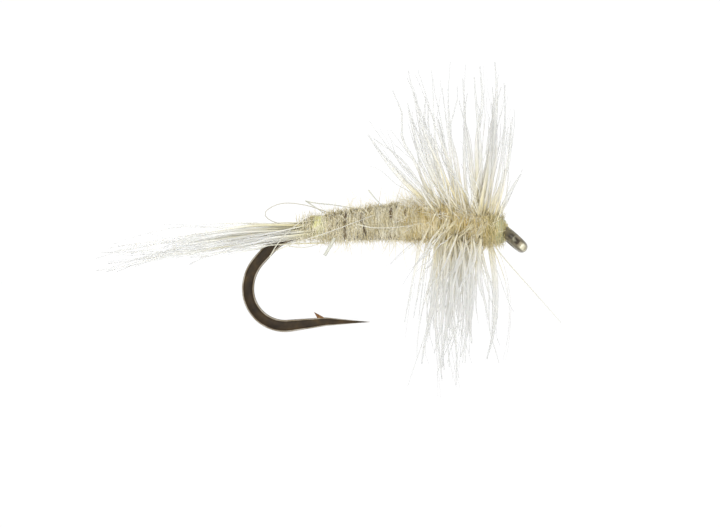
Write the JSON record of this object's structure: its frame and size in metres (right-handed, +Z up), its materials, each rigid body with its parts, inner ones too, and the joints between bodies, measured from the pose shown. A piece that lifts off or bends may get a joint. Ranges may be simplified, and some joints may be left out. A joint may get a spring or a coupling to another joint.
{
  "type": "dry fly",
  "caption": "Pale dry fly: wound feather hackle, dubbed fur body and long fibre tail tied with thread on a barbed light-wire hook with a turned-down eye.",
  "frame": {"origin": "centre of the hook eye, on the axis of its hole", "axes": "+X along the hook shank, out of the fly past the eye; +Z up, from the point's side of the hook towards the back of the fly; +Y to the fly's side"},
  "size_m": [0.0166, 0.0108, 0.0125],
  "materials": {
    "bronzed_wire": "satin",
    "olive_thread": null,
    "lime_thread": null,
    "cream_fur": null,
    "ochre_fur": null,
    "tail_barb": null,
    "hackle_quill": null,
    "hackle_barb": null,
    "varnish": null
  },
  "bodies": {
    "root": {"hook": "bronzed_wire", "thread_base": "olive_thread", "tail_fibres": "tail_barb", "tail_butts": "tail_barb", "tail_binding": "lime_thread", "underbody_wraps": "olive_thread", "abdomen_dubbing": "cream_fur", "guard_hairs": "cream_fur", "tag_end": "cream_fur", "loose_loop": "tail_barb", "stray_fibres": "tail_barb", "hackle_butts": "hackle_quill", "thorax_wraps": "olive_thread", "thorax_dubbing": "ochre_fur", "rear_hackle_stem": "hackle_quill", "rear_hackle_barbs": "hackle_barb", "front_hackle_stem": "hackle_quill", "front_hackle_barbs": "hackle_barb", "head_thread": "olive_thread", "whip_finish": "olive_thread", "head_cement": "varnish"}
  },
  "joints": []
}
